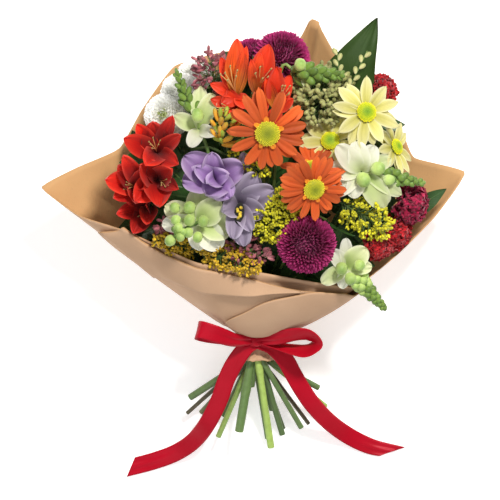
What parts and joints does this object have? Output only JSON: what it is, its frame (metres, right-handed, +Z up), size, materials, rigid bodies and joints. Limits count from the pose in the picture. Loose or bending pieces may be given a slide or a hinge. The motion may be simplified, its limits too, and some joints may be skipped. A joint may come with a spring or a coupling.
{
  "type": "flower bouquet",
  "caption": "Mixed hand-tied bouquet lying on its back: daisies, mums, lilies, snapdragons and filler in a kraft paper wrap with a red satin bow.",
  "frame": {"origin": "middle of the flat spot on the back of the wrap that the bouquet lies on", "axes": "+Y from the cut stems to the flowers, +Z up from the surface, +X to the right as seen from above"},
  "size_m": [0.384, 0.4264, 0.1982],
  "materials": {
    "leaf": "satin",
    "cream_petal": "matte",
    "cream_disc": "matte",
    "crimson_petal": "matte",
    "goldenrod": "matte",
    "lavender_petal": "matte",
    "orange_petal": "matte",
    "orange_disc": "matte",
    "kraft_paper": "matte",
    "pink_bud": "matte",
    "purple_petal": "matte",
    "red_petal": "matte",
    "ribbon": "satin",
    "scarlet_petal": "matte",
    "seed_bud": "matte",
    "snapdragon": "matte",
    "stem": "satin",
    "white_petal": "matte",
    "yellow_bud": "matte"
  },
  "bodies": {
    "root": {"broad_leaf": "leaf", "cream_daisy_1": "cream_petal", "cream_daisy_1_disc": "cream_disc", "cream_daisy_2": "cream_petal", "cream_daisy_2_disc": "cream_disc", "cream_daisy_3": "cream_petal", "cream_daisy_3_disc": "cream_disc", "crimson_carnation_1": "crimson_petal", "foliage_1": "leaf", "foliage_2": "leaf", "foliage_3": "leaf", "foliage_4": "leaf", "foliage_5": "leaf", "front_leaf": "leaf", "goldenrod_1": "goldenrod", "goldenrod_2": "goldenrod", "goldenrod_3": "goldenrod", "goldenrod_4": "goldenrod", "goldenrod_5": "goldenrod", "lisianthus_1": "lavender_petal", "lisianthus_2": "lavender_petal", "orange_daisy_1": "orange_petal", "orange_daisy_1_disc": "orange_disc", "orange_daisy_2": "orange_petal", "orange_daisy_2_disc": "orange_disc", "orange_daisy_3": "orange_petal", "orange_daisy_3_disc": "orange_disc", "paper_overlap_left": "kraft_paper", "paper_overlap_right": "kraft_paper", "paper_wrap": "kraft_paper", "pink_buds_1": "pink_bud", "pink_buds_2": "pink_bud", "pink_buds_3": "pink_bud", "purple_mum_1": "purple_petal", "purple_mum_2": "purple_petal", "purple_mum_3": "purple_petal", "red_alstroemeria_1": "red_petal", "red_alstroemeria_2": "red_petal", "red_alstroemeria_3": "red_petal", "red_alstroemeria_4": "red_petal", "red_carnation_1": "crimson_petal", "red_carnation_2": "crimson_petal", "red_carnation_3": "crimson_petal", "ribbon": "ribbon", "scarlet_alstroemeria_1": "scarlet_petal", "scarlet_alstroemeria_2": "scarlet_petal", "scarlet_alstroemeria_3": "scarlet_petal", "scarlet_alstroemeria_4": "scarlet_petal", "seed_spray_1": "seed_bud", "side_leaf": "leaf", "snapdragon_1": "snapdragon", "snapdragon_2": "snapdragon", "snapdragon_3": "snapdragon", "snapdragon_4": "snapdragon", "snapdragon_5": "snapdragon", "stems": "stem", "white_mum_1": "white_petal", "white_mum_2": "white_petal", "white_mum_3": "white_petal", "yellow_buds_1": "yellow_bud"}
  },
  "joints": []
}
